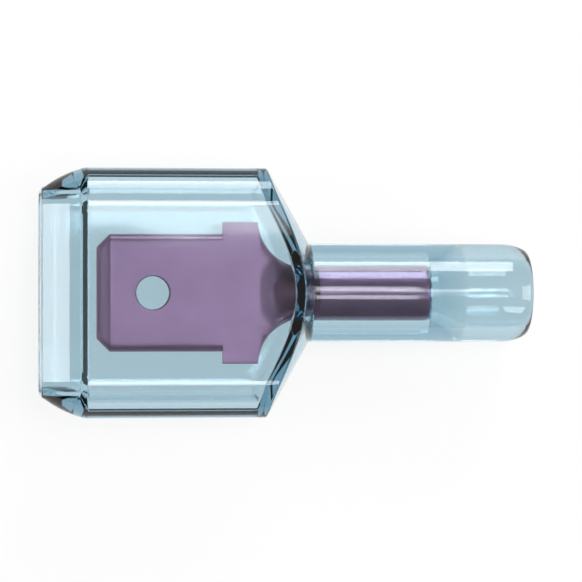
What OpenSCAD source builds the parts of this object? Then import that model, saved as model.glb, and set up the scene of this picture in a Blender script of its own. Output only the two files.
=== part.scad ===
// Fully insulated male spade terminal, in millimetres.
// The metal tab stands inside an open flat shroud, and its crimp barrel sits in the round sleeve behind.
// The part lies on a broad face. The mouth faces -X, the wire enters from +X, and the wire axis is
// parallel to X at half the shroud's height. Lengths are counted from the mouth.

/* [Tab] */
// Width of the tab
tab_w = 6.3; // [4.8:0.1:6.6]
// Length of the tab, from its tip to the stops
tab_l = 6.75; // [6:0.05:8.5]
// Thickness of the sheet that the terminal is stamped from; the tab is folded double
stock_t = 0.4; // [0.3:0.02:0.45]
// Length cut off each corner of the tip
tip_cut = 0.7; // [0.3:0.05:1]
// Length of the bevel that thins the tip
tip_bevel_l = 0.7; // [0.3:0.05:1.2]
// Thickness left at the end of the tip
tip_edge_t = 0.4; // [0.3:0.02:0.5]
// Diameter of the detent hole
hole_d = 1.8; // [1.4:0.05:2.2]
// Distance from the tip to the centre of the detent hole
hole_x = 3; // [2:0.05:3.6]
// Gap between the two folded edges that meet under the tab
seam_gap = 0.08; // [0.04:0.01:0.2]

/* [Stops and neck] */
// Width across the stops
stop_w = 7.6; // [7.2:0.1:8.4]
// Length of each stop
stop_l = 1.9; // [1.2:0.1:2.4]
// Narrowest width of the neck
neck_w = 2.7; // [2.2:0.05:2.8]

/* [Crimp barrel] */
// Inner diameter of the barrel
barrel_bore = 2.2; // [2:0.05:2.5]
// Length of the barrel
barrel_l = 6.8; // [5.5:0.1:8]
// How far the top of the barrel's front rim leans back
rim_lean = 0.75; // [0.3:0.05:1]
// Number of gripping grooves inside the barrel
groove_count = 3; // [1:1:5]
// Distance from one gripping groove to the next
groove_pitch = 1.1; // [0.7:0.05:1.2]
// Width of each gripping groove
groove_w = 0.35; // [0.2:0.05:0.5]
// Depth of each gripping groove
groove_d = 0.07; // [0.03:0.01:0.12]
// Radius on the outer edge of the barrel's wire end
barrel_round = 0.3; // [0.1:0.02:0.34]

/* [Shroud] */
// Outer width of the shroud
shroud_w = 13.3; // [12.4:0.1:16]
// Outer height of the shroud
shroud_h = 7; // [6.4:0.1:9]
// Radius of the shroud's long edges
edge_r = 2; // [1.9:0.05:2.6]
// Wall thickness of the shroud and the shoulder
wall = 0.8; // [0.6:0.05:0.9]
// Distance from the mouth to the tab's tip
tab_recess = 3; // [2.8:0.1:5]
// Length of the shoulder between the shroud and the sleeve
shoulder_l = 2.3; // [1.6:0.1:3]

/* [Mouth] */
// Length of the sloping nose round the mouth
nose_l = 2.3; // [1.8:0.1:2.6]
// How far the nose slopes in
nose_drop = 1.05; // [0.8:0.05:1.2]
// Height of the arc in the nose's slope over its chord
nose_crown = 0.12; // [0.05:0.01:0.2]
// Height of the snap ridge inside the mouth
ridge_h = 0.55; // [0.2:0.05:0.6]
// Length of the ramp behind the snap ridge
ridge_ramp_l = 0.25; // [0.2:0.05:0.8]

/* [Sleeve] */
// Wall thickness of the sleeve around the barrel
sleeve_wall = 1.13; // [0.9:0.01:1.3]
// How far the barrel's foot stands out in front of the sleeve
sleeve_lead = 0.3; // [0.1:0.05:0.6]
// Length of the sleeve past the barrel's wire end
entry_l = 5.5; // [4.5:0.1:8]
// Diameter of the bore that takes the wire's insulation
insulation_bore = 3.6; // [3.2:0.05:3.8]
// Length of the throat that covers the barrel's wire end
throat_l = 0.4; // [0.2:0.05:0.8]
// Length of the funnel that leads the wire into the barrel
funnel_l = 1.5; // [1:0.1:2.4]
// Length of the rounding on the outside of the wire end
end_round_l = 1.5; // [0.8:0.1:2]
// Depth of the rounding on the outside of the wire end
end_round_d = 0.6; // [0.3:0.05:0.62]
// Length of the flare inside the wire end
flare_l = 0.4; // [0.2:0.05:0.8]
// Depth of the flare inside the wire end
flare_d = 0.12; // [0.05:0.01:0.14]

/* [Fits] */
// Gap between the barrel and its seat in the sleeve
seat_gap = 0.02; // [0.01:0.01:0.05]

/* [Hidden] */
$fn = 96;
plastic = [0.62, 0.8, 0.87, 0.6];
metal = [0.6, 0.5, 0.62];

// Stations along the wire axis
stops_x = tab_recess + tab_l;
neck_x = stops_x + stop_l;
neck_r = (stop_w - neck_w) / 2;
barrel_x = neck_x + neck_r;
barrel_end = barrel_x + barrel_l;
sleeve_x = barrel_x + sleeve_lead;
shroud_l = sleeve_x - shoulder_l;
throat_x = barrel_end + seat_gap;
funnel_x = throat_x + throat_l;
overall_l = barrel_end + entry_l;

// Radii about the wire axis
barrel_r = barrel_bore / 2 + stock_t;
mid_r = barrel_r - stock_t / 2;
seat_r = barrel_r + seat_gap;
sleeve_r = seat_r + sleeve_wall;

// The shroud's section is a core rectangle grown by a radius, and only that radius changes along its length
core_y = shroud_w / 2 - edge_r;
core_z = shroud_h / 2 - edge_r;
cavity_r = edge_r - wall;
mouth_r = cavity_r - ridge_h;
nose_r = edge_r - nose_drop;
lip_r = (nose_r - mouth_r) / 2;

// The shoulder is part of a cone, and its inner face is the same cone set back by the wall
shoulder_slope = (shroud_w / 2 - sleeve_r) / shoulder_l;
shoulder_set_back = wall * sqrt(1 + pow(shoulder_slope, 2)) / shoulder_slope;
seat_x = sleeve_x - shoulder_set_back + (sleeve_r - seat_r) / shoulder_slope;

// The terminal's folds, the lean of the barrel's rim and the first gripping groove
fold_y = tab_w / 2 - stock_t;
rim_slope = rim_lean / (2 * barrel_r);
neck_thinning = 0.06;
groove_x = (barrel_x + rim_lean + barrel_end - barrel_round - (groove_count - 1) * groove_pitch - groove_w) / 2;

nose_steps = 8;
lip_steps = 6;
end_steps = 10;
neck_steps = 16;
neck_strips = 12;
past = 1;
sink = 0.5;

// A rising arc from [0, 0] to [length, rise], bowed by crown over its chord
function bowed(length, rise, crown, steps) = [
    for (i = [0:steps])
        let (t = i / steps, bow = 4 * crown * t * (1 - t))
        [length * t - bow * rise / norm([length, rise]), rise * t + bow * length / norm([length, rise])]
];

// Radius along the outside of the shroud: a round lip, the nose's arc, then straight to the sleeve
function outer_profile() = concat(
    [[sleeve_x, 0], [lip_r, 0]],
    [for (i = [0:lip_steps])
        let (a = 90 * i / lip_steps)
        [lip_r * (1 - sin(a)), nose_r - lip_r - lip_r * cos(a)]],
    [for (i = [1:lip_steps - 1])
        let (a = 60 * i / lip_steps)
        [lip_r * (1 - cos(a)), nose_r - lip_r + lip_r * sin(a)]],
    [for (p = bowed(nose_l - lip_r, nose_drop, nose_crown, nose_steps)) [p.x + lip_r, p.y + nose_r]],
    [[sleeve_x, edge_r]]
);

// Radius along the inside of the shroud: the snap ridge, its ramp, then the cavity
function cavity_profile() = [
    [-past, 0],
    [-past, mouth_r],
    [nose_l - ridge_ramp_l / 2, mouth_r],
    [nose_l + ridge_ramp_l / 2, cavity_r],
    [seat_x, cavity_r],
    [seat_x, 0]
];

// Radius along the bore behind the seat: the throat, the funnel, the insulation bore and its flare
function bore_profile() = [
    [throat_x - seat_gap, 0],
    [throat_x - seat_gap, barrel_bore / 2],
    [funnel_x, barrel_bore / 2],
    [funnel_x + funnel_l, insulation_bore / 2],
    [overall_l - flare_l, insulation_bore / 2],
    [overall_l, insulation_bore / 2 + flare_d],
    [overall_l + past, insulation_bore / 2 + flare_d],
    [overall_l + past, 0]
];

// Radius along the outside of the sleeve, with its rounded wire end
function sleeve_profile() = concat(
    [[shroud_l, 0], [shroud_l, sleeve_r]],
    [for (i = [0:end_steps])
        let (a = 90 * i / end_steps)
        [overall_l - end_round_l * (1 - sin(a)), sleeve_r - end_round_d * (1 - cos(a))]],
    [[overall_l, 0]]
);

// Turns [x, radius] points about the wire axis, by angle from +Y towards +Z
module turned(points, angle = 360) {
    rotate([90, 0, 90])
        rotate_extrude(angle = angle)
            polygon([for (p = points) [p.y, p.x]]);
}

// Carries [x, radius] points round the core rectangle, as the shroud's section is built
module round_core(points, x_from, x_to) {
    for (side_y = [0, 1], side_z = [0, 1])
        mirror([0, side_y, 0])
            mirror([0, 0, side_z])
                translate([0, core_y, core_z])
                    turned(points, 90);
    for (side = [0, 1]) {
        mirror([0, 0, side])
            rotate([90, 0, 0])
                linear_extrude(2 * core_y, center = true)
                    translate([0, core_z])
                        polygon(points);
        mirror([0, side, 0])
            linear_extrude(2 * core_z, center = true)
                translate([0, core_y])
                    polygon(points);
    }
    translate([x_from, -core_y, -core_z])
        cube([x_to - x_from, 2 * core_y, 2 * core_z]);
}

// A cone about the wire axis that shrinks to end_r at end_x with the shoulder's slope
module shoulder_cone(x_from, end_x, end_r) {
    translate([x_from, 0, 0])
        rotate([0, 90, 0])
            cylinder(end_x - x_from, end_r + (end_x - x_from) * shoulder_slope, end_r);
}

// A cylinder along the wire axis
module rod(x_from, x_to, r) {
    translate([x_from, 0, 0])
        rotate([0, 90, 0])
            cylinder(x_to - x_from, r, r);
}

module housing_outside() {
    intersection() {
        round_core(outer_profile(), lip_r, sleeve_x);
        shoulder_cone(-past, sleeve_x, sleeve_r);
    }
    turned(sleeve_profile());
}

module housing_inside() {
    intersection() {
        round_core(cavity_profile(), -past, seat_x);
        shoulder_cone(-2 * past, seat_x, seat_r);
    }
    rod(seat_x - sink, throat_x, seat_r);
    turned(bore_profile());
}

module housing() {
    color(plastic)
        difference() {
            housing_outside();
            housing_inside();
        }
}

// Half the neck's width where its edge arc has turned by angle
function neck_half(angle) = stop_w / 2 - neck_r * sin(angle);
function ease(t) = t * t * (3 - 2 * t);
function ease_slope(t) = 6 * t * (1 - t);

// One section of the neck: the sheet drops from the tab's level to the barrel's foot and curls up at its edges.
// It thins a little towards the barrel, so that its facets end inside the barrel's ring.
function neck_section(angle) =
    let (
        t = 1 - cos(angle),
        x = neck_x + neck_r * t,
        drop = ease(t) * (mid_r + stock_t / 2),
        slope = ease_slope(t) * (mid_r + stock_t / 2) / neck_r,
        half_t = stock_t / 2 * (1 - neck_thinning * t) * sqrt(1 + slope * slope),
        half_w = neck_half(angle),
        bend_r = mid_r / max(ease(t), 0.001),
        reach = asin(half_w / (bend_r + stock_t / 2))
    )
    [
        for (side = [1, -1], i = [0:neck_strips])
            let (
                across = side * (1 - 2 * i / neck_strips),
                r = bend_r + side * half_t,
                y = t == 0 ? across * half_w : r * sin(across * reach),
                bowl = t == 0 ? -side * half_t : bend_r - r * cos(across * reach),
                z = stock_t / 2 - drop + bowl
            )
            [x + t * rim_slope * (z + barrel_r), y, z]
    ];

// The formed neck between the stops and the barrel's foot, lofted through its sections
module neck_sheet() {
    ring = 2 * (neck_strips + 1);
    points = [for (k = [0:neck_steps]) each neck_section(90 * k / neck_steps)];
    walls = [
        for (k = [0:neck_steps - 1], i = [0:ring - 1])
            let (a = k * ring + i, b = k * ring + (i + 1) % ring)
            each [[a, b, b + ring], [a, b + ring, a + ring]]
    ];
    // Each end is closed by pairs of triangles between the outer and the inner face of the sheet
    ends = [
        for (k = [0, neck_steps], i = [0:neck_strips - 1])
            let (a = k * ring + i, b = k * ring + ring - 1 - i)
            each (k == 0 ? [[a, b, b - 1], [a, b - 1, a + 1]] : [[a, b - 1, b], [a, a + 1, b - 1]])
    ];
    polyhedron(points, concat(walls, ends), convexity = 6);
}

// The blade's outline seen from above, with its cut corners
module blade_outline() {
    half_w = tab_w / 2;
    polygon([
        [tab_recess, tip_cut - half_w], [tab_recess, half_w - tip_cut],
        [tab_recess + tip_cut, half_w], [stops_x + past, half_w],
        [stops_x + past, -half_w], [tab_recess + tip_cut, -half_w]
    ]);
}

// The blade's outline seen from the side, with its bevelled tip
module blade_profile() {
    polygon([
        [tab_recess, -tip_edge_t / 2], [tab_recess, tip_edge_t / 2],
        [tab_recess + tip_bevel_l, stock_t], [stops_x + past, stock_t],
        [stops_x + past, -stock_t], [tab_recess + tip_bevel_l, -stock_t]
    ]);
}

// The blade's section: two layers of sheet with round folds, and a seam between the edges below
module blade_section() {
    difference() {
        union() {
            square([2 * fold_y, 2 * stock_t], center = true);
            for (side = [-1, 1])
                translate([side * fold_y, 0])
                    circle(stock_t);
        }
        translate([0, -stock_t])
            square([seam_gap, 2 * stock_t], center = true);
    }
}

// The folded double blade with its detent hole
module tab() {
    difference() {
        intersection() {
            translate([tab_recess, 0, 0])
                rotate([90, 0, 90])
                    linear_extrude(tab_l)
                        blade_section();
            translate([0, 0, -past])
                linear_extrude(2 * past)
                    blade_outline();
            rotate([90, 0, 0])
                linear_extrude(tab_w + 2 * past, center = true)
                    blade_profile();
        }
        translate([tab_recess + hole_x, 0, -past])
            cylinder(2 * past, hole_d / 2, hole_d / 2);
    }
}

// The single sheet behind the tab, with the two stops
module stop_plate() {
    translate([stops_x, -stop_w / 2, 0])
        cube([stop_l, stop_w, stock_t]);
    translate([stops_x - sink, -fold_y, 0])
        cube([2 * sink, 2 * fold_y, stock_t]);
}

// Radius along the outside of the barrel
function barrel_profile() = concat(
    [[barrel_x, 0], [barrel_x, barrel_r]],
    [for (i = [0:lip_steps])
        let (a = 90 * i / lip_steps)
        [barrel_end - barrel_round * (1 - sin(a)), barrel_r - barrel_round * (1 - cos(a))]],
    [[barrel_end, 0]]
);

// The rolled barrel: its front rim leans back, and its bore has gripping grooves
module barrel() {
    difference() {
        turned(barrel_profile());
        rod(barrel_x - past, barrel_end + past, barrel_bore / 2);
        translate([barrel_x, 0, -barrel_r])
            rotate([0, atan(rim_slope), 0])
                translate([-2 * past, -barrel_r - past, -past])
                    cube([2 * past, 2 * (barrel_r + past), 2 * (barrel_r + past)]);
        for (i = [0:groove_count - 1])
            translate([groove_x + i * groove_pitch, 0, 0])
                rotate([0, 90, 0])
                    cylinder(groove_w, barrel_bore / 2 + groove_d, barrel_bore / 2 + groove_d);
    }
}

module terminal() {
    color(metal) {
        tab();
        stop_plate();
        neck_sheet();
        barrel();
    }
}

// Puts the bottom centre of the housing's box at the origin
module placed() {
    translate([-overall_l / 2, 0, shroud_h / 2])
        children();
}

placed() housing();
placed() terminal();
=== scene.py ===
"""Looks of an insulated male spade terminal: a clear blue moulding round a plated sheet-metal terminal."""

from __future__ import annotations

import logging
import math
from dataclasses import dataclass
from enum import Enum
from typing import Sequence

import bmesh
import bpy
import numpy as np
from mathutils import Matrix, Vector

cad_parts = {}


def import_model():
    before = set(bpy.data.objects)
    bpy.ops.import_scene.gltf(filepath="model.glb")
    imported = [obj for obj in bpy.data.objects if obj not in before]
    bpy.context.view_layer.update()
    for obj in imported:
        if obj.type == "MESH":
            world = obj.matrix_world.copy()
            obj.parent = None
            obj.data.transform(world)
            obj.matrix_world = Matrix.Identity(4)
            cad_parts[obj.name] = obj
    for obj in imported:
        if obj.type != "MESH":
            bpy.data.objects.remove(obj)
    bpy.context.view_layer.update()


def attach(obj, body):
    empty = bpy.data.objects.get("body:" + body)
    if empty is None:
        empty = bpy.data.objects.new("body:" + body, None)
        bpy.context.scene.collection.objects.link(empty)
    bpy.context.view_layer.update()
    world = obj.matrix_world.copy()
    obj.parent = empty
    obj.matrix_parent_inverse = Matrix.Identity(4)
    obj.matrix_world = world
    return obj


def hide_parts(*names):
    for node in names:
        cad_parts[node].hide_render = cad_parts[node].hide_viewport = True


log = logging.getLogger("spade_terminal")

MM = 0.001
BODY = "root"
Object = bpy.types.Object
Socket = bpy.types.NodeSocket
Points = np.ndarray
Spot = Sequence[float]
Pair = tuple[float, float]
Triple = tuple[float, float, float]


class RowKind(Enum):
    """How a row of the housing's surface is laid round the wire axis."""

    OFFSET = 0
    OUTER_CREASE = 1
    OUTER_ROUND = 2
    INNER_CREASE = 3
    INNER_ROUND = 4


# Profile helpers


def arc(centre: Pair, radii: Pair, start: float, end: float, steps: int) -> list[Pair]:
    """Points on part of an ellipse.

    Args:
        centre: the ellipse's centre.
        radii: its half axes.
        start: first angle in degrees.
        end: last angle in degrees.
        steps: number of steps between them.

    Returns:
        steps + 1 points.
    """
    turns = np.radians(np.linspace(start, end, steps + 1))
    return [(centre[0] + radii[0] * math.cos(t), centre[1] + radii[1] * math.sin(t)) for t in turns]


def rounded(before: Spot, corner: Spot, after: Spot, radius: float, steps: int = 5) -> list[Pair]:
    """A corner of an open outline, rounded.

    Args:
        before: the point before the corner.
        corner: the corner.
        after: the point after it.
        radius: the rounding's radius.
        steps: number of steps along the rounding.

    Returns:
        steps + 1 points from the straight run before the corner to the one after it.
    """
    a, b, c = (np.array(p, float) for p in (before, corner, after))
    u, v = (a - b) / np.linalg.norm(a - b), (c - b) / np.linalg.norm(c - b)
    half = math.acos(float(np.clip(u @ v, -1, 1))) / 2
    reach = radius / math.tan(half)
    centre = b + (u + v) / np.linalg.norm(u + v) * (radius / math.sin(half))
    start, end = b + u * reach - centre, b + v * reach - centre
    total = math.pi - 2 * half
    out = []
    for i in range(steps + 1):
        t = i / steps
        p = centre + (math.sin((1 - t) * total) * start + math.sin(t * total) * end) / math.sin(total)
        out.append((float(p[0]), float(p[1])))
    return out


def rounded_line(points: Sequence[Spot], radii: Sequence[float], steps: int = 5) -> list[Pair]:
    """An open outline whose inner corners are rounded.

    Args:
        points: the outline's corners.
        radii: one radius for each inner corner.
        steps: number of steps along each rounding.

    Returns:
        The outline's points.
    """
    out = [tuple(map(float, points[0]))]
    for before, corner, after, radius in zip(points, points[1:], points[2:], radii):
        out += rounded(before, corner, after, radius, steps)
    out.append(tuple(map(float, points[-1])))
    return out


# Node trees


@dataclass(frozen=True)
class Field:
    """A socket of a node tree that can be used in sums like a number or a vector."""

    tree: "ShapeTree"
    socket: Socket
    vector: bool = False

    def __add__(self, other: "Value") -> "Field":
        """The sum."""
        return self.tree.math("ADD", self, other)

    def __sub__(self, other: "Value") -> "Field":
        """The difference."""
        return self.tree.math("SUBTRACT", self, other)

    def __mul__(self, other: "Value") -> "Field":
        """The product; a vector is scaled."""
        return self.tree.math("MULTIPLY", self, other)

    def __truediv__(self, other: "Value") -> "Field":
        """The quotient."""
        return self.tree.math("DIVIDE", self, other)


Value = Field | float | int


class NodeTree:
    """A node tree under construction."""

    def __init__(self, group: bpy.types.NodeTree) -> None:
        """Takes up an empty tree."""
        self.group = group

    def node(
        self, kind: str, links: dict[str | int, object] | None = None, **settings: object
    ) -> bpy.types.Node:
        """Adds a node.

        Args:
            kind: the node's type.
            links: input name or index to a field, a socket or a plain value.
            **settings: properties of the node.

        Returns:
            The node.
        """
        made = self.group.nodes.new(kind)
        for name, value in settings.items():
            setattr(made, name, value)
        for key, value in (links or {}).items():
            self.feed(made.inputs[key], value)
        return made

    def feed(self, socket: Socket, value: object) -> None:
        """Links a field or a socket to an input, or sets a plain value there.

        Args:
            socket: the input.
            value: what it gets.
        """
        source = value.socket if isinstance(value, Field) else value
        if isinstance(source, Socket):
            self.group.links.new(source, socket)
        else:
            socket.default_value = source


class ShapeTree(NodeTree):
    """A Geometry Nodes tree under construction, with named inputs."""

    merge_distance = 1e-7

    def __init__(self, name: str) -> None:
        """Starts an empty tree.

        Args:
            name: the tree's name.
        """
        super().__init__(bpy.data.node_groups.new(name, "GeometryNodeTree"))
        for way in ("INPUT", "OUTPUT"):
            self.group.interface.new_socket("Geometry", in_out=way, socket_type="NodeSocketGeometry")
        self.inputs = self.group.nodes.new("NodeGroupInput")
        self.outputs = self.group.nodes.new("NodeGroupOutput")
        self.geometry = self.inputs.outputs["Geometry"]
        self.identifiers: dict[str, str] = {}

    def input(self, name: str, kind: str) -> Field:
        """Adds a named input.

        Args:
            name: the input's name.
            kind: its socket type.

        Returns:
            The input as a field.
        """
        socket = self.group.interface.new_socket(name, in_out="INPUT", socket_type=kind)
        self.identifiers[name] = socket.identifier
        return Field(self, self.inputs.outputs[name], kind == "NodeSocketVector")

    def math(self, operation: str, a: Value, b: Value | None = None) -> Field:
        """One step of arithmetic on numbers or vectors.

        Args:
            operation: the math node's operation.
            a: first value.
            b: second value, if the operation has one.

        Returns:
            The result.
        """
        vectors = [isinstance(v, Field) and v.vector for v in (a, b)]
        links = {0: a} if b is None else {0: a, 1: b}
        if not any(vectors):
            return Field(self, self.node("ShaderNodeMath", links, operation=operation).outputs[0])
        if operation == "MULTIPLY" and vectors != [True, True]:
            vector, factor = (a, b) if vectors[0] else (b, a)
            operation, links = "SCALE", {0: vector, "Scale": factor}
        made = self.node("ShaderNodeVectorMath", links, operation=operation)
        if operation == "LENGTH":
            return Field(self, made.outputs["Value"])
        return Field(self, made.outputs[0], True)

    def parts(self, vector: Field) -> tuple[Field, Field, Field]:
        """A vector's three numbers."""
        made = self.node("ShaderNodeSeparateXYZ", {0: vector})
        return tuple(Field(self, made.outputs[i]) for i in range(3))

    def join(self, x: Value, y: Value, z: Value) -> Field:
        """A vector from three numbers."""
        return Field(self, self.node("ShaderNodeCombineXYZ", {0: x, 1: y, 2: z}).outputs[0], True)

    def choose(self, test: Field, no: Field, yes: Field) -> Field:
        """One of two fields, point by point.

        Args:
            test: the test.
            no: the value where it fails.
            yes: the value where it holds.

        Returns:
            The chosen values.
        """
        kind = "VECTOR" if no.vector else "FLOAT"
        made = self.node("GeometryNodeSwitch", {0: test, 1: no, 2: yes}, input_type=kind)
        return Field(self, made.outputs[0], no.vector)

    def equals(self, a: Value, b: Value) -> Field:
        """True where two numbers are within a half of each other."""
        made = self.node("FunctionNodeCompare", {"A": a, "B": b, "Epsilon": 0.5}, operation="EQUAL")
        return Field(self, made.outputs[0])

    def sample(self, geometry: Socket, index: Field, name: str | None, vector: bool) -> Field:
        """What a point of another geometry holds.

        Args:
            geometry: the other geometry.
            index: the point's number.
            name: the attribute's name, or None for the position.
            vector: True for a vector attribute.

        Returns:
            The sampled value.
        """
        kind = "FLOAT_VECTOR" if vector else "FLOAT"
        if name is None:
            source = self.node("GeometryNodeInputPosition")
        else:
            source = self.node("GeometryNodeInputNamedAttribute", {"Name": name}, data_type=kind)
        links = {0: geometry, "Value": source.outputs[0], "Index": index}
        made = self.node("GeometryNodeSampleIndex", links, data_type=kind)
        return Field(self, made.outputs[0], vector)

    def count(self, geometry: Socket) -> Field:
        """How many points a geometry has."""
        return Field(self, self.node("GeometryNodeAttributeDomainSize", {0: geometry}).outputs[0])

    def ring_grid(self, rows: Field, columns: Field) -> tuple[Socket, Field, Field]:
        """A grid to be laid round an axis and closed both ways.

        Args:
            rows: number of rows along the profile.
            columns: number of columns round the axis.

        Returns:
            The grid, and each point's row and column.
        """
        tall = rows + 1
        grid = self.node("GeometryNodeMeshGrid", {"Vertices X": columns + 1, "Vertices Y": tall})
        index = Field(self, self.node("GeometryNodeInputIndex").outputs[0])
        column = self.math("FLOOR", (index + 0.5) / tall)
        return grid.outputs["Mesh"], index - column * tall, column

    def finish(self, mesh: Socket, position: Field, material: Field) -> None:
        """Places the grid's points, closes its seams and gives it its material.

        Args:
            mesh: the grid.
            position: where each point goes.
            material: the material input.
        """
        made = self.node("GeometryNodeSetPosition", {"Geometry": mesh, "Position": position})
        for kind, links in (
            ("GeometryNodeMergeByDistance", {"Distance": self.merge_distance}),
            ("GeometryNodeSetShadeSmooth", {}),
            ("GeometryNodeSetMaterial", {"Material": material}),
        ):
            made = self.node(kind, {"Geometry": made.outputs[0], **links})
        self.group.links.new(made.outputs[0], self.outputs.inputs[0])


def seed_mesh(name: str, points: Points, attributes: dict[str, Points] | None = None) -> Object:
    """An object of bare points, in order, for a node tree to read.

    Args:
        name: the object's name.
        points: their places.
        attributes: named numbers or vectors, one for each point.

    Returns:
        The object, linked to the scene.
    """
    mesh = bpy.data.meshes.new(name)
    mesh.from_pydata([tuple(p) for p in points], [], [])
    for key, values in (attributes or {}).items():
        vector = np.ndim(values) == 2
        made = mesh.attributes.new(key, "FLOAT_VECTOR" if vector else "FLOAT", "POINT")
        made.data.foreach_set("vector" if vector else "value", np.asarray(values, np.float32).ravel())
    return linked(name, mesh)


def grown(seed: Object, tree: ShapeTree, values: dict[str, object]) -> bpy.types.Mesh:
    """The plain mesh that a node tree makes from its seed, which is then removed.

    Args:
        seed: the object that carries the tree.
        tree: the node tree.
        values: input name to value.

    Returns:
        The mesh.
    """
    modifier = seed.modifiers.new(tree.group.name, "NODES")
    modifier.node_group = tree.group
    for name, value in values.items():
        modifier[tree.identifiers[name]] = value
    return plain_mesh(seed)


def plain_mesh(obj: Object, *helpers: Object) -> bpy.types.Mesh:
    """The plain mesh that an object's modifiers make.

    Args:
        obj: the object, which is removed.
        *helpers: other objects that are no longer needed.

    Returns:
        The mesh.
    """
    graph = bpy.context.evaluated_depsgraph_get()
    mesh = bpy.data.meshes.new_from_object(obj.evaluated_get(graph), depsgraph=graph)
    mesh.name = obj.name
    for old in (obj, *helpers):
        bpy.data.objects.remove(old)
    return mesh


def linked(name: str, data: bpy.types.ID) -> Object:
    """A new object, linked to the scene.

    Args:
        name: its name.
        data: its mesh, lamp or camera.

    Returns:
        The object.
    """
    obj = bpy.data.objects.new(name, data)
    bpy.context.scene.collection.objects.link(obj)
    return obj


# Finishes


class Recipe(NodeTree):
    """A material under construction round a Principled shader."""

    def __init__(self, name: str) -> None:
        """Starts the material.

        Args:
            name: the material's name.
        """
        self.material = bpy.data.materials.new(name)
        self.material.use_nodes = True
        super().__init__(self.material.node_tree)
        self.group.nodes.clear()
        self.output = self.node("ShaderNodeOutputMaterial")
        self.shader = self.node("ShaderNodeBsdfPrincipled")
        self.feed(self.output.inputs["Surface"], self.shader.outputs["BSDF"])

    def dress(self, values: dict[str, object]) -> None:
        """Feeds inputs of the shader by name."""
        for name, value in values.items():
            self.feed(self.shader.inputs[name], value)

    def coordinates(self) -> Socket:
        """Object coordinates, in metres."""
        return self.node("ShaderNodeTexCoord").outputs["Object"]

    def noise(self, scale: float, detail: float, place: Socket | None = None) -> Socket:
        """A cloudy pattern from 0 to 1, on Object coordinates unless a place is given."""
        links = {"Vector": place or self.coordinates(), "Scale": scale, "Detail": detail}
        return self.node("ShaderNodeTexNoise", links).outputs["Fac"]

    def spread(self, pattern: Socket, middle: float, width: float) -> Socket:
        """A pattern brought to a band of a given width about a middle value."""
        links = {"Value": pattern, "To Min": middle - width / 2, "To Max": middle + width / 2}
        return self.node("ShaderNodeMapRange", links).outputs["Result"]

    def bump(self, pattern: Socket, strength: float, depth: float) -> Socket:
        """Normals roughened by a pattern, depth in millimetres."""
        links = {"Height": pattern, "Strength": strength, "Distance": depth * MM}
        return self.node("ShaderNodeBump", links).outputs["Normal"]


@dataclass(frozen=True)
class ClearPlastic:
    """Clear plastic with a light blue tint, partly in its skin and partly by the depth it is seen through."""

    name: str = "clear_blue_plastic"
    skin: Triple = (0.79, 0.875, 0.905)
    clear_share: Triple = (0.835, 0.9, 0.928)
    share_depth: float = 0.8
    headroom: float = 1.1
    roughness: float = 0.035
    roughness_spread: float = 0.03
    haze_scale: float = 300.0
    index: float = 1.46
    ripple: float = 0.02
    ripple_scale: float = 160.0

    def make(self) -> bpy.types.Material:
        """Builds the material.

        Returns:
            The material.
        """
        recipe = Recipe(self.name)
        haze = recipe.noise(self.haze_scale, 3.0)
        recipe.dress(
            {
                "Base Color": (*self.skin, 1),
                "Transmission Weight": 1.0,
                "IOR": self.index,
                "Roughness": recipe.spread(haze, self.roughness, self.roughness_spread),
                "Normal": recipe.bump(recipe.noise(self.ripple_scale, 1.0), 1.0, self.ripple),
            }
        )
        rate = [-math.log(share) / (self.share_depth * MM) for share in self.clear_share]
        density = self.headroom * max(rate)
        tint = (*(1 - r / density for r in rate), 1)
        volume = recipe.node("ShaderNodeVolumeAbsorption", {"Color": tint, "Density": density})
        recipe.feed(recipe.output.inputs["Volume"], volume.outputs["Volume"])
        return recipe.material


@dataclass(frozen=True)
class PlatedSheet:
    """Rolled sheet metal with a satin plating and fine rolling lines along the part."""

    name: str = "satin_plated_sheet"
    colour: Triple = (0.38, 0.19, 0.295)
    colour_spread: float = 0.07
    colour_stops: Pair = (0.3, 0.7)
    cloud_scale: float = 420.0
    roughness: float = 0.44
    roughness_spread: float = 0.12
    line_scale: float = 9000.0
    line_stretch: Triple = (0.06, 1.0, 1.0)
    line_strength: float = 0.6
    line_depth: float = 0.004

    def make(self) -> bpy.types.Material:
        """Builds the material.

        Returns:
            The material.
        """
        recipe = Recipe(self.name)
        coords = recipe.coordinates()
        tone = recipe.node("ShaderNodeValToRGB", {"Fac": recipe.noise(self.cloud_scale, 4.0, coords)})
        for element, shift, position in zip(tone.color_ramp.elements, (-1, 1), self.colour_stops):
            element.color = (*(c * (1 + shift * self.colour_spread) for c in self.colour), 1)
            element.position = position
        stretch = recipe.node("ShaderNodeMapping", {"Vector": coords, "Scale": self.line_stretch})
        lines = recipe.noise(self.line_scale, 2.0, stretch.outputs["Vector"])
        recipe.dress(
            {
                "Metallic": 1.0,
                "Base Color": tone.outputs["Color"],
                "Roughness": recipe.spread(lines, self.roughness, self.roughness_spread),
                "Normal": recipe.bump(lines, self.line_strength, self.line_depth),
            }
        )
        return recipe.material


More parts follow.
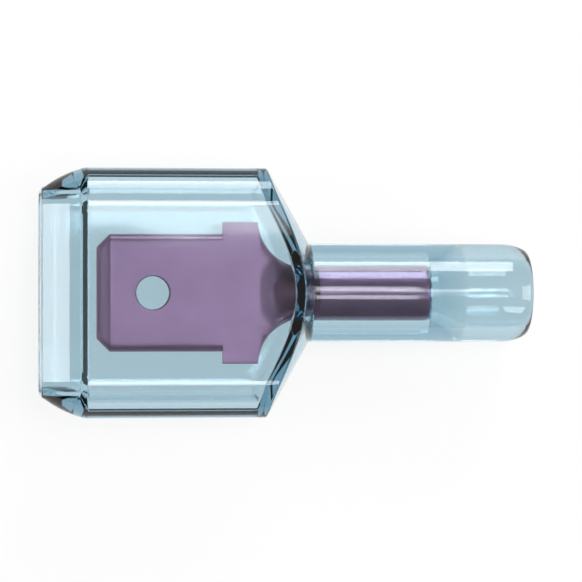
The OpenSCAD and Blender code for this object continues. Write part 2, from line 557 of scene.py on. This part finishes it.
@dataclass(frozen=True)
class PaleCard:
    """The matt white card that the part lies on, lifted towards white where it is seen."""

    name: str = "pale_card"
    shade: float = 0.97
    roughness: float = 0.9
    gloss: float = 0.1
    lift: float = 0.85

    def make(self) -> bpy.types.Material:
        """Builds the material.

        Returns:
            The material.
        """
        recipe = Recipe(self.name)
        shade = (self.shade, self.shade, self.shade, 1)
        recipe.dress({"Base Color": shade, "Roughness": self.roughness, "Specular IOR Level": self.gloss})
        path = recipe.node("ShaderNodeLightPath").outputs
        seen = path["Is Camera Ray"]
        for ray in ("Is Glossy Ray", "Is Transmission Ray"):
            seen = recipe.node("ShaderNodeMath", {0: seen, 1: path[ray]}, operation="MAXIMUM").outputs[0]
        share = recipe.node("ShaderNodeMath", {0: seen, 1: self.lift}, operation="MULTIPLY").outputs[0]
        glow = recipe.node("ShaderNodeEmission").outputs["Emission"]
        blend = recipe.node("ShaderNodeMixShader", {0: share, 1: recipe.shader.outputs["BSDF"], 2: glow})
        recipe.feed(recipe.output.inputs["Surface"], blend.outputs[0])
        return recipe.material


# The part


@dataclass
class TerminalSizes:
    """Stations along the wire axis and sizes of the terminal, in millimetres from the mouth."""

    tab_w: float = 6.3
    tab_l: float = 6.75
    stock_t: float = 0.4
    tip_cut: float = 0.7
    tip_bevel_l: float = 0.7
    tip_edge_t: float = 0.4
    hole_d: float = 1.8
    hole_x: float = 3.0
    seam_gap: float = 0.08
    stop_w: float = 7.6
    stop_l: float = 1.9
    neck_w: float = 2.7
    barrel_bore: float = 2.2
    barrel_l: float = 6.8
    rim_lean: float = 0.75
    groove_count: int = 3
    groove_pitch: float = 1.1
    groove_w: float = 0.35
    groove_d: float = 0.07
    barrel_round: float = 0.3
    tab_recess: float = 3.0

    @property
    def stops_x(self) -> float:
        """Front of the stops."""
        return self.tab_recess + self.tab_l

    @property
    def neck_x(self) -> float:
        """Start of the neck."""
        return self.stops_x + self.stop_l

    @property
    def neck_r(self) -> float:
        """Radius of the neck's edges."""
        return (self.stop_w - self.neck_w) / 2

    @property
    def barrel_x(self) -> float:
        """Foot of the barrel's front rim."""
        return self.neck_x + self.neck_r

    @property
    def barrel_end(self) -> float:
        """Wire end of the barrel."""
        return self.barrel_x + self.barrel_l

    @property
    def barrel_r(self) -> float:
        """Outer radius of the barrel."""
        return self.barrel_bore / 2 + self.stock_t

    @property
    def rim_slope(self) -> float:
        """How far the front rim leans back for each unit of height."""
        return self.rim_lean / (2 * self.barrel_r)


@dataclass
class HousingSizes:
    """Sizes of the housing in millimetres."""

    shroud_w: float = 13.3
    shroud_h: float = 7.0
    edge_r: float = 2.0
    wall: float = 0.8
    shoulder_l: float = 2.3
    nose_l: float = 2.3
    nose_drop: float = 1.05
    nose_crown: float = 0.12
    ridge_h: float = 0.55
    ridge_ramp_l: float = 0.25
    sleeve_wall: float = 1.13
    sleeve_lead: float = 0.3
    entry_l: float = 5.5
    insulation_bore: float = 3.6
    throat_l: float = 0.4
    funnel_l: float = 1.5
    end_round_l: float = 1.5
    end_round_d: float = 0.6
    flare_l: float = 0.4
    flare_d: float = 0.12
    seat_gap: float = 0.02


@dataclass
class Placement:
    """Carries lengths from the mouth and the wire axis, in millimetres, to the row frame in metres."""

    length: float
    axis_height: float

    def place(self, points: Points) -> Points:
        """Places points: x from the mouth, y and z from the wire axis, in millimetres."""
        return (np.asarray(points, float) + [-self.length / 2, 0, self.axis_height]) * MM


@dataclass
class Housing:
    """The clear moulding: shroud, shoulder and sleeve in one closed skin."""

    sizes: HousingSizes
    terminal: TerminalSizes
    corner_steps: int = 14
    broad_steps: int = 72
    side_steps: int = 8
    fillet: float = 0.18
    crown_fillet: float = 0.54
    ridge_fillet: float = 0.126
    bore_fillets: tuple[float, ...] = (0.3, 0.15, 0.04, 0.04)
    rim_stretch: float = 1.2
    lip_joint: float = 0.03

    def placement(self) -> Placement:
        """Where the part stands in the row frame."""
        return Placement(self.overall_l, self.sizes.shroud_h / 2)

    @property
    def overall_l(self) -> float:
        """Length from the mouth to the wire end."""
        return self.terminal.barrel_end + self.sizes.entry_l

    @property
    def sleeve_x(self) -> float:
        """Where the shoulder meets the sleeve."""
        return self.terminal.barrel_x + self.sizes.sleeve_lead

    @property
    def seat_r(self) -> float:
        """Radius of the barrel's seat."""
        return self.terminal.barrel_r + self.sizes.seat_gap

    @property
    def sleeve_r(self) -> float:
        """Outer radius of the sleeve."""
        return self.seat_r + self.sizes.sleeve_wall

    @property
    def slope(self) -> float:
        """The shoulder's fall in radius for each unit of length."""
        return (self.sizes.shroud_w / 2 - self.sleeve_r) / self.sizes.shoulder_l

    @property
    def seat_x(self) -> float:
        """Where the inner cone meets the barrel's seat."""
        set_back = self.sizes.wall * math.sqrt(1 + self.slope**2) / self.slope
        return self.sleeve_x - set_back + (self.sleeve_r - self.seat_r) / self.slope

    def section(self) -> tuple[Points, Points]:
        """The shroud's section as a core rectangle and outward directions.

        Returns:
            Core points and unit directions, both (columns, 2), going round from +Y towards +Z.
        """
        s = self.sizes
        core_y, core_z = s.shroud_w / 2 - s.edge_r, s.shroud_h / 2 - s.edge_r
        mid_z = core_z + s.edge_r - s.wall / 2
        sweep = math.atan2(core_y, mid_z)
        broad = mid_z * np.tan(np.linspace(sweep, -sweep, self.broad_steps + 1)[:-1])
        side = np.linspace(-core_z, core_z, self.side_steps + 1)[:-1]
        turns = np.radians(np.linspace(0, 90, self.corner_steps + 1)[:-1])
        core, out = [], []
        for half in (1, -1):
            core += [(half * core_y, half * z) for z in side]
            core += [(half * core_y, half * core_z)] * len(turns)
            core += [(half * y, half * core_z) for y in broad]
            core += [(-half * core_y, half * core_z)] * len(turns)
            out += [(half, 0)] * len(side) + [(half * math.cos(t), half * math.sin(t)) for t in turns]
            out += [(0, half)] * len(broad) + [(-half * math.sin(t), half * math.cos(t)) for t in turns]
        return np.array(core), np.array(out)

    def rows(self) -> list[tuple[RowKind, float, float]]:
        """The rows of the closed skin, from the lip along the outside and back along the inside.

        Returns:
            For each row its kind and two numbers: x and radius, or steps from the crease.
        """
        s, t = self.sizes, self.terminal
        nose_r, cavity_r = s.edge_r - s.nose_drop, s.edge_r - s.wall
        mouth_r = cavity_r - s.ridge_h
        lip_r = (nose_r - mouth_r) / 2
        down = np.array([1.0, -self.slope])
        rows: list[tuple[RowKind, float, float]] = []

        def add(kind: RowKind, points: Sequence[Spot]) -> None:
            """Appends rows of one kind."""
            rows.extend((kind, float(p[0]), float(p[1])) for p in points)

        nose = self.nose_line(lip_r, nose_r)
        add(RowKind.OFFSET, arc((lip_r, nose_r - lip_r), (lip_r, lip_r), 180, 115, 6))
        add(RowKind.OFFSET, nose[:-1])
        crown_end = rounded(nose[-2], nose[-1], (nose[-1][0] + 2, s.edge_r), self.crown_fillet, 4)
        add(RowKind.OFFSET, crown_end)
        add(RowKind.OUTER_CREASE, rounded((-1, 0), (0, 0), down, self.fillet, 5))
        foot = (self.sleeve_x, self.sleeve_r)
        add(RowKind.OUTER_ROUND, rounded(np.array(foot) - down, foot, (foot[0] + 1, foot[1]), self.fillet, 5))
        end, bore = self.overall_l, s.insulation_bore / 2
        long, lip = s.end_round_l, s.end_round_d
        add(RowKind.OUTER_ROUND, arc((end - long, self.sleeve_r - lip), (long, lip), 90, 8, 14))
        flare_r = bore + s.flare_d
        rim = (self.sleeve_r - lip - flare_r) / 2
        run = self.rim_stretch * rim
        add(RowKind.OUTER_ROUND, arc((end - run, flare_r + rim), (run, rim), 10, -90, 5))
        add(RowKind.INNER_ROUND, [(end - s.flare_l / 2, bore + s.flare_d * 0.4), (end - s.flare_l, bore)])
        funnel_x = t.barrel_end + s.seat_gap + s.throat_l
        throat = t.barrel_bore / 2
        step_x = t.barrel_end + s.seat_gap
        inner = [(end - s.flare_l, bore), (funnel_x + s.funnel_l, bore), (funnel_x, throat), (step_x, throat)]
        inner += [(step_x, self.seat_r), (t.barrel_end - 0.5, self.seat_r)]
        add(RowKind.INNER_ROUND, rounded_line(inner, self.bore_fillets)[1:])
        seat = (self.seat_x, self.seat_r)
        add(RowKind.INNER_ROUND, rounded((seat[0] + 1, seat[1]), seat, np.array(seat) - down, self.fillet, 5))
        add(RowKind.INNER_CREASE, rounded(down, (0, 0), (-1, 0), self.fillet, 5))
        ramp = s.ridge_ramp_l / 2
        ridge = [(s.nose_l + ramp + 1, cavity_r), (s.nose_l + ramp, cavity_r)]
        ridge += [(s.nose_l - ramp, mouth_r), (lip_r, mouth_r)]
        add(RowKind.OFFSET, rounded_line(ridge, [self.ridge_fillet] * 2)[1:])
        add(RowKind.OFFSET, arc((lip_r, nose_r - lip_r), (lip_r, lip_r), 270, 190, 7)[1:])
        return rows

    def nose_line(self, lip_r: float, nose_r: float) -> list[Pair]:
        """The nose's slightly bowed slope.

        Args:
            lip_r: radius of the lip.
            nose_r: the section's radius at the lip.

        Returns:
            Its points as x and radius.
        """
        s = self.sizes
        run, rise = s.nose_l - lip_r, s.nose_drop
        size = math.hypot(run, rise)
        out = []
        for t in np.linspace(self.lip_joint, 1, 12):
            bow = 4 * s.nose_crown * t * (1 - t)
            out.append((lip_r + run * t - bow * rise / size, nose_r + rise * t + bow * run / size))
        return out

    def tree(self, names: Sequence[str]) -> ShapeTree:
        """The node tree that lays the rows round the section.

        Args:
            names: its inputs that are numbers.

        Returns:
            The tree.
        """
        tree = ShapeTree("Swept skin")
        section_object = tree.input("Section", "NodeSocketObject")
        n = {name: tree.input(name, "NodeSocketFloat") for name in names}
        plastic = tree.input("Material", "NodeSocketMaterial")
        profile = tree.geometry
        section = tree.node("GeometryNodeObjectInfo", {0: section_object}).outputs["Geometry"]
        rows, columns = tree.count(profile), tree.count(section)
        grid, row, column = tree.ring_grid(rows, columns)
        row = tree.math("FLOORED_MODULO", row + 0.25, rows)
        column = tree.math("FLOORED_MODULO", column + 0.25, columns)
        core = tree.sample(section, column, None, True)
        out = tree.sample(section, column, "outward", True)
        kind = tree.sample(profile, row, "kind", False)
        a = tree.sample(profile, row, "a", False)
        b = tree.sample(profile, row, "b", False)

        outer, inner = n["Edge radius"], n["Edge radius"] - n["Wall"]
        flat, x = core + out * b, a
        for crease, turned, radius, foot_x, foot_r in (
            (RowKind.OUTER_CREASE, RowKind.OUTER_ROUND, outer, n["Sleeve x"], n["Sleeve radius"]),
            (RowKind.INNER_CREASE, RowKind.INNER_ROUND, inner, n["Seat x"], n["Seat radius"]),
        ):
            edge = core + out * radius
            reach = tree.math("LENGTH", edge)
            ray = edge * tree.math("DIVIDE", 1.0, reach)
            crease_x = foot_x - (reach - foot_r) / n["Slope"]
            for row_kind, across, along in ((crease, ray * (reach + b), crease_x + a), (turned, ray * b, a)):
                test = tree.equals(kind, float(row_kind.value))
                flat, x = tree.choose(test, flat, across), tree.choose(test, x, along)
        _, y, z = tree.parts(flat)
        scale = n["Scale"]
        tree.finish(grid, tree.join((x - n["Middle"]) * scale, y * scale, (z + n["Height"]) * scale), plastic)
        return tree

    def build(self, finish: ClearPlastic) -> Object:
        """Makes the housing.

        Args:
            finish: its plastic.

        Returns:
            The piece, riding on the root body.
        """
        s = self.sizes
        core, out = self.section()
        rows = self.rows()
        flat = np.zeros((len(core), 1))
        section = seed_mesh("housing_section", np.hstack([flat, core]), {"outward": np.hstack([flat, out])})
        kinds = np.array([r[0].value for r in rows], float)
        along, away = (np.array([r[i] for r in rows]) for i in (1, 2))
        seed = seed_mesh("housing_profile", np.zeros((len(rows), 3)), {"kind": kinds, "a": along, "b": away})
        mat = finish.make()
        numbers = {"Wall": s.wall, "Edge radius": s.edge_r, "Slope": self.slope}
        numbers |= {"Sleeve radius": self.sleeve_r, "Sleeve x": self.sleeve_x}
        numbers |= {"Seat radius": self.seat_r, "Seat x": self.seat_x}
        numbers |= {"Scale": MM, "Height": s.shroud_h / 2, "Middle": self.overall_l / 2}
        mesh = grown(seed, self.tree(tuple(numbers)), {"Section": section, "Material": mat, **numbers})
        bpy.data.objects.remove(section)
        obj = linked("housing_skin", mesh)
        steady_normals(obj)
        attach(obj, BODY)
        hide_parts("housing")
        return obj


def steady_normals(obj: Object) -> None:
    """Keeps broad flats flat in the shading between small roundings.

    Args:
        obj: the piece.
    """
    modifier = obj.modifiers.new("steady_normals", "WEIGHTED_NORMAL")
    modifier.mode = "FACE_AREA"
    modifier.weight = 50
    modifier.keep_sharp = True


@dataclass
class Terminal:
    """The stamped, folded and rolled sheet: blade, stops, neck and crimp barrel."""

    sizes: TerminalSizes
    placement: Placement
    across_steps: int = 28
    corner_steps: int = 4
    neck_steps: int = 48
    hole_sides: int = 72
    barrel_sides: int = 128
    edge_r: float = 0.05
    groove_slope: float = 0.04
    tip_ease: Triple = (0.04, 0.03, 0.04)
    blade_rings: Triple = (2.0, 4.0, 5.5)
    hold: float = 0.06
    seam_stop: float = 0.02
    tuck: Pair = (0.02, 0.3)
    tuck_thinning: float = 0.02
    wall_start: float = 1.6
    past: float = 0.5

    def ring(self, half_w: float, half_t: float, corner: float) -> Points:
        """A flat section of the sheet as across and up, going round from the +Y edge over the top.

        Args:
            half_w: half the sheet's width.
            half_t: half its thickness.
            corner: radius of its corners.

        Returns:
            (points, 2) across and up from the section's middle.
        """
        flat = half_w - corner
        level = half_t - corner
        top = [(y, half_t) for y in np.linspace(flat, -flat, self.across_steps + 1)]
        left = arc((-flat, level), (corner, corner), 90, 180, self.corner_steps)[1:]
        left += arc((-flat, -level), (corner, corner), 180, 270, self.corner_steps)[1 if level == 0 else 0 :]
        bottom = [(-y, -p) for y, p in top][1:]
        right = arc((flat, -level), (corner, corner), 270, 360, self.corner_steps)[1:]
        right += arc((flat, level), (corner, corner), 0, 90, self.corner_steps)[1 if level == 0 else 0 : -1]
        return np.array(top + left + bottom + right)

    def loft(self, name: str, rings: Sequence[Points]) -> Object:
        """A closed solid through rings of as many points each.

        Args:
            name: the object's name.
            rings: (points, 3) each, in millimetres.

        Returns:
            The object.
        """
        size = len(rings[0])
        points = self.placement.place(np.concatenate(rings))
        faces: list[tuple[int, ...]] = [
            (k + i, k + (i + 1) % size, k + (i + 1) % size + size, k + i + size)
            for k in range(0, len(points) - size, size)
            for i in range(size)
        ]
        faces += [tuple(reversed(range(size))), tuple(range(len(points) - size, len(points)))]
        mesh = bpy.data.meshes.new(name)
        mesh.from_pydata([tuple(p) for p in points], [], faces)
        mesh.update()
        face_outwards(mesh)
        return linked(name, mesh)

    def blade(self) -> Object:
        """The folded double blade with its bevelled tip, seam and detent hole.

        Returns:
            The blade as an object.
        """
        s = self.sizes
        rings = []
        ease_l, ease_w, ease_t = self.tip_ease
        for x in (0.0, ease_l, s.tip_bevel_l, s.tip_bevel_l + self.hold, *self.blade_rings, s.tab_l):
            share = min(1.0, x / s.tip_cut)
            half_w = s.tab_w / 2 - s.tip_cut * (1 - share)
            half_t = s.tip_edge_t / 2 + (s.stock_t - s.tip_edge_t / 2) * min(1.0, x / s.tip_bevel_l)
            if x == 0:
                half_w, half_t = half_w - ease_w, half_t - ease_t
            ring = self.ring(half_w, half_t, half_t)
            rings.append(np.hstack([np.full((len(ring), 1), s.tab_recess + x), ring]))
        blade = self.loft("blade", rings)
        hole = self.cutter_rod(s.tab_recess + s.hole_x, s.hole_d / 2)
        low = (s.tab_recess - self.past, -s.seam_gap / 2, -s.stock_t - self.past)
        seam = self.cutter_box(low, (s.stops_x - self.seam_stop, s.seam_gap / 2, 0.0))
        for cutter in (hole, seam):
            cut = blade.modifiers.new("cut", "BOOLEAN")
            cut.operation, cut.solver, cut.object = "DIFFERENCE", "EXACT", cutter
        return linked("blade", plain_mesh(blade, hole, seam))

    def cutter_rod(self, x: float, radius: float) -> Object:
        """An upright rod that cuts the detent hole, slightly eased at the sheet's faces.

        Args:
            x: its station.
            radius: its radius.

        Returns:
            The rod as an object.
        """
        t, ease = self.sizes.stock_t, self.edge_r
        rings = []
        for z, grow in ((-t - 1, 1 + ease), (-t + ease, 0.0), (t - ease, 0.0), (t + 1, 1 + ease)):
            turns = np.linspace(0, 2 * math.pi, self.hole_sides + 1)[:-1]
            r = radius + grow
            rings.append(np.stack([x + r * np.cos(turns), r * np.sin(turns), np.full(len(turns), z)], 1))
        return self.loft("hole_cutter", rings)

    def cutter_box(self, low: Triple, high: Triple) -> Object:
        """A box between two corners, which cuts the seam."""
        square = [(low[1], low[2]), (high[1], low[2]), (high[1], high[2]), (low[1], high[2])]
        return self.loft("seam_cutter", [np.array([(x, *yz) for yz in square]) for x in (low[0], high[0])])

    def neck(self) -> Object:
        """The stops and the neck, which drops and curls into the barrel's foot.

        Returns:
            The neck as an object.
        """
        s = self.sizes
        half_t, corner = s.stock_t / 2, self.edge_r
        mid_r = s.barrel_r - half_t
        rings = []
        for x in (0.0, self.hold, s.stop_l / 2, s.stop_l - self.hold):
            ring = self.ring(s.stop_w / 2, half_t, corner)
            rings.append(np.stack([np.full(len(ring), s.stops_x + x), ring[:, 0], ring[:, 1] + half_t], 1))
        for k in range(self.neck_steps + 1):
            turn = math.pi / 2 * k / self.neck_steps
            t = 1 - math.cos(turn)
            ease = t * t * (3 - 2 * t)
            slope = 6 * t * (1 - t) * (mid_r + half_t) / s.neck_r
            half_w = s.stop_w / 2 - s.neck_r * math.sin(turn)
            rings.append(self.bent_ring(s.neck_x + s.neck_r * t, t, ease, slope, half_w, corner))
        thin = self.tuck_thinning
        for into in self.tuck:
            rings.append(self.bent_ring(s.barrel_x + into, 1.0, 1.0, 0.0, s.neck_w / 2 - thin, corner, thin))
        return self.loft("neck", rings)

    def bent_ring(
        self, x: float, t: float, ease: float, slope: float, half_w: float, corner: float, thin: float = 0.0
    ) -> Points:
        """A section of the neck, dropped and curled up at its edges.

        Args:
            x: its station.
            t: how far along the neck it is, from 0 to 1.
            ease: how far it has dropped and curled, from 0 to 1.
            slope: the neck's fall there, which thickens an upright section.
            half_w: half its width.
            corner: radius of its corners.
            thin: how much is taken off each face.

        Returns:
            (points, 3) in millimetres.
        """
        s = self.sizes
        half_t = s.stock_t / 2
        mid_r = s.barrel_r - half_t
        tall = half_t * math.sqrt(1 + slope * slope) - thin
        ring = self.ring(half_w, tall, corner)
        bend = mid_r / max(ease, 1e-5)
        reach = math.asin(half_w / (bend + half_t))
        turn = ring[:, 0] / half_w * reach
        y = (bend - ring[:, 1]) * np.sin(turn)
        z = half_t - ease * (mid_r + half_t) + bend - (bend - ring[:, 1]) * np.cos(turn)
        return np.stack([x + t * s.rim_slope * (z + s.barrel_r), y, z], 1)

    def barrel_outline(self) -> Points:
        """The barrel's wall in section, as x and radius, going round once.

        Returns:
            (points, 2) in millimetres.
        """
        s = self.sizes
        rim, inner = self.edge_r, s.barrel_bore / 2
        out = arc((s.barrel_x + rim, s.barrel_r - rim), (rim, rim), 180, 90, 4)
        edge = s.barrel_end - s.barrel_round
        out += [(s.barrel_x + self.wall_start, s.barrel_r)]
        out += arc((edge, s.barrel_r - s.barrel_round), (s.barrel_round, s.barrel_round), 90, 0, 8)
        out += arc((s.barrel_end - rim, inner + rim), (rim, rim), 0, -90, 4)
        first = s.barrel_x + s.rim_lean + s.barrel_end - s.barrel_round
        first = (first - (s.groove_count - 1) * s.groove_pitch - s.groove_w) / 2
        step, deep = self.groove_slope / 2, inner + s.groove_d
        for i in reversed(range(s.groove_count)):
            x0 = first + i * s.groove_pitch
            x1 = x0 + s.groove_w
            out += [(x1 + step, inner), (x1 - step, deep), (x0 + step, deep), (x0 - step, inner)]
        out += [(s.barrel_x + self.wall_start, inner)]
        out += arc((s.barrel_x + rim, inner + rim), (rim, rim), 270, 180, 4)
        return np.array(out)

    def barrel_tree(self, names: Sequence[str]) -> ShapeTree:
        """The node tree that turns the wall's outline about the wire axis and leans its front rim.

        Args:
            names: its inputs that are numbers.

        Returns:
            The tree.
        """
        tree = ShapeTree("Turned barrel")
        n = {name: tree.input(name, "NodeSocketFloat") for name in names}
        columns = tree.input("Columns", "NodeSocketInt")
        metal = tree.input("Material", "NodeSocketMaterial")
        outline = tree.geometry
        rows = tree.count(outline)
        grid, row, column = tree.ring_grid(rows, columns)
        row = tree.math("FLOORED_MODULO", row + 0.25, rows)
        x, radius, _ = tree.parts(tree.sample(outline, row, None, True))
        turn = column / columns * (2 * math.pi)
        y = radius * tree.math("COSINE", turn)
        z = radius * tree.math("SINE", turn)
        leaning = tree.math("LESS_THAN", x, n["Rim reach"])
        x = x + leaning * n["Rim slope"] * (z + n["Outer radius"])
        scale = n["Scale"]
        place = tree.join((x - n["Middle"]) * scale, y * scale, (z + n["Height"]) * scale)
        tree.finish(grid, place, metal)
        return tree

    def barrel(self, metal: bpy.types.Material) -> Object:
        """The rolled barrel with its gripping grooves.

        Args:
            metal: the sheet's material.

        Returns:
            The barrel as an object.
        """
        s = self.sizes
        outline = self.barrel_outline()
        seed = seed_mesh("barrel", np.pad(outline, ((0, 0), (0, 1))))
        numbers = {"Rim slope": s.rim_slope, "Rim reach": s.barrel_x + self.past, "Outer radius": s.barrel_r}
        numbers |= {"Scale": MM, "Height": self.placement.axis_height, "Middle": self.placement.length / 2}
        values = {"Columns": self.barrel_sides, "Material": metal, **numbers}
        mesh = grown(seed, self.barrel_tree(tuple(numbers)), values)
        return linked("barrel", mesh)

    def build(self, finish: PlatedSheet) -> Object:
        """Makes the terminal.

        Args:
            finish: its metal.

        Returns:
            The piece, riding on the root body.
        """
        metal = finish.make()
        made = [self.blade(), self.neck(), self.barrel(metal)]
        obj = joined("terminal_sheet", made, metal)
        steady_normals(obj)
        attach(obj, BODY)
        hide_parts("terminal")
        return obj


def face_outwards(mesh: bpy.types.Mesh) -> None:
    """Turns every face of a closed mesh outwards.

    Args:
        mesh: the mesh.
    """
    work = bmesh.new()
    work.from_mesh(mesh)
    bmesh.ops.recalc_face_normals(work, faces=work.faces)
    work.to_mesh(mesh)
    work.free()


def joined(name: str, parts: Sequence[Object], metal: bpy.types.Material) -> Object:
    """One closed piece from several solids, smooth but for its sharp edges.

    Args:
        name: the piece's name.
        parts: the solids, which are removed.
        metal: the material of the whole.

    Returns:
        The piece.
    """
    nearest, sharp = 2e-7, math.radians(35)
    whole = parts[0]
    for part in parts[1:]:
        union = whole.modifiers.new("union", "BOOLEAN")
        union.operation, union.solver, union.object = "UNION", "EXACT", part
    work = bmesh.new()
    work.from_mesh(plain_mesh(whole, *parts[1:]))
    bmesh.ops.remove_doubles(work, verts=work.verts, dist=nearest)
    bmesh.ops.dissolve_degenerate(work, edges=work.edges, dist=nearest)
    bmesh.ops.triangulate(work, faces=work.faces)
    for face in work.faces:
        face.smooth = True
        face.material_index = 0
    mesh = bpy.data.meshes.new(name)
    work.to_mesh(mesh)
    work.free()
    mesh.materials.clear()
    mesh.materials.append(metal)
    mesh.set_sharp_from_angle(angle=sharp)
    return linked(name, mesh)


# Studio


@dataclass(frozen=True)
class Softbox:
    """A soft lamp that faces the part."""

    name: str
    side: Triple
    distance: float
    width: float
    length: float
    level: float

    def hang(self, target: Vector) -> None:
        """Hangs the lamp.

        Args:
            target: the spot that it faces.
        """
        data = bpy.data.lights.new(self.name, "AREA")
        data.shape = "RECTANGLE"
        data.size, data.size_y = self.length, self.width
        data.energy = self.level * math.pi * self.width * self.length
        lamp = linked(self.name, data)
        away = Vector(self.side).normalized()
        lamp.location = target + away * self.distance
        along = Vector((1, 0, 0)) if abs(away.x) < 0.9 else Vector((0, 1, 0))
        along = (along - away * along.dot(away)).normalized()
        across = away.cross(along)
        rows = [(along[i], across[i], away[i], lamp.location[i]) for i in range(3)]
        lamp.matrix_world = Matrix([*rows, (0, 0, 0, 1)])


@dataclass
class Studio:
    """The floor, the lights and the camera."""

    target: Triple = (0.0003, 0.0001, 0.0035)
    tilt: float = 7.0
    lens: float = 180.0
    frame_width: float = 0.0314
    zenith: float = 0.42
    horizon: float = 0.07
    dome_axis: Triple = (0.5, 0.0, 0.86)
    dome_fade: Pair = (-0.25, 0.8)
    strip_lean: float = 10.0
    floor_half: float = 2.0
    floor_drop: float = 0.05
    sensor: float = 36.0

    def floor(self) -> None:
        """Lays the pale floor."""
        mesh = bpy.data.meshes.new("floor")
        half, low = self.floor_half, -self.floor_drop * MM
        spots = [(-half, -half, low), (half, -half, low), (half, half, low), (-half, half, low)]
        mesh.from_pydata(spots, [], [(0, 1, 2, 3)])
        floor = linked("floor", mesh)
        mesh.materials.append(PaleCard().make())

    def world(self) -> None:
        """Lights the scene from a dome that darkens towards the horizon."""
        world = bpy.data.worlds.new("dome")
        bpy.context.scene.world = world
        world.use_nodes = True
        dome = NodeTree(world.node_tree)
        place = dome.node("ShaderNodeTexCoord").outputs["Generated"]
        axis = Vector(self.dome_axis).normalized()
        along = dome.node("ShaderNodeVectorMath", {0: place, 1: axis}, operation="DOT_PRODUCT")
        low, high = self.dome_fade
        ends = {"From Min": low, "From Max": high, "To Min": self.horizon, "To Max": self.zenith}
        links = {"Value": along.outputs["Value"], **ends}
        fade = dome.node("ShaderNodeMapRange", links, interpolation_type="SMOOTHSTEP")
        background = world.node_tree.nodes["Background"]
        dome.feed(background.inputs["Color"], (1, 1, 1, 1))
        dome.feed(background.inputs["Strength"], fade.outputs["Result"])

    def lamps(self) -> None:
        """Hangs broad lamps round the part, and a small one and two narrow strips over it."""
        boxes = [
            Softbox("key", (0.18, 0.88, 0.4), 0.42, 0.19, 0.16, 9.5),
            Softbox("front", (-0.84, 0.0, 0.52), 0.42, 0.09, 0.2, 8.0),
            Softbox("fill", (0.86, 0.0, 0.5), 0.42, 0.2, 0.3, 4.5),
            Softbox("glare", (0.085, 0.094, 1.0), 0.3, 0.038, 0.08, 4.7),
        ]
        lean = math.radians(self.strip_lean)
        for side in (1, -1):
            away = (0.08, side * math.sin(lean), math.cos(lean))
            boxes.append(Softbox(f"strip_{side}", away, 0.32, 0.05, 0.07, 9.0))
        for box in boxes:
            box.hang(Vector(self.target))

    def camera(self) -> None:
        """Puts the camera nearly straight above, a little towards the mouth."""
        data = bpy.data.cameras.new("camera")
        data.lens = self.lens
        data.sensor_width = self.sensor
        data.clip_start, data.clip_end = 0.01, 10.0
        cam = linked("camera", data)
        distance = self.frame_width * self.lens / self.sensor
        tilt = math.radians(self.tilt)
        back = Vector((-math.sin(tilt), 0, math.cos(tilt)))
        cam.location = Vector(self.target) + back * distance
        cam.rotation_euler = (0, -tilt, 0)
        bpy.context.scene.camera = cam


def main() -> None:
    """Builds the part and the studio round it."""
    logging.basicConfig(level=logging.INFO, format="%(name)s: %(message)s")
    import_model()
    terminal_sizes = TerminalSizes()
    housing = Housing(HousingSizes(), terminal_sizes)
    terminal = Terminal(terminal_sizes, housing.placement())
    for obj in (housing.build(ClearPlastic()), terminal.build(PlatedSheet())):
        log.info("%s: %d faces", obj.name, len(obj.data.polygons))
    studio = Studio()
    studio.floor()
    studio.world()
    studio.lamps()
    studio.camera()
    bpy.context.scene.view_settings.view_transform = "Standard"


if __name__ == "__main__":
    main()
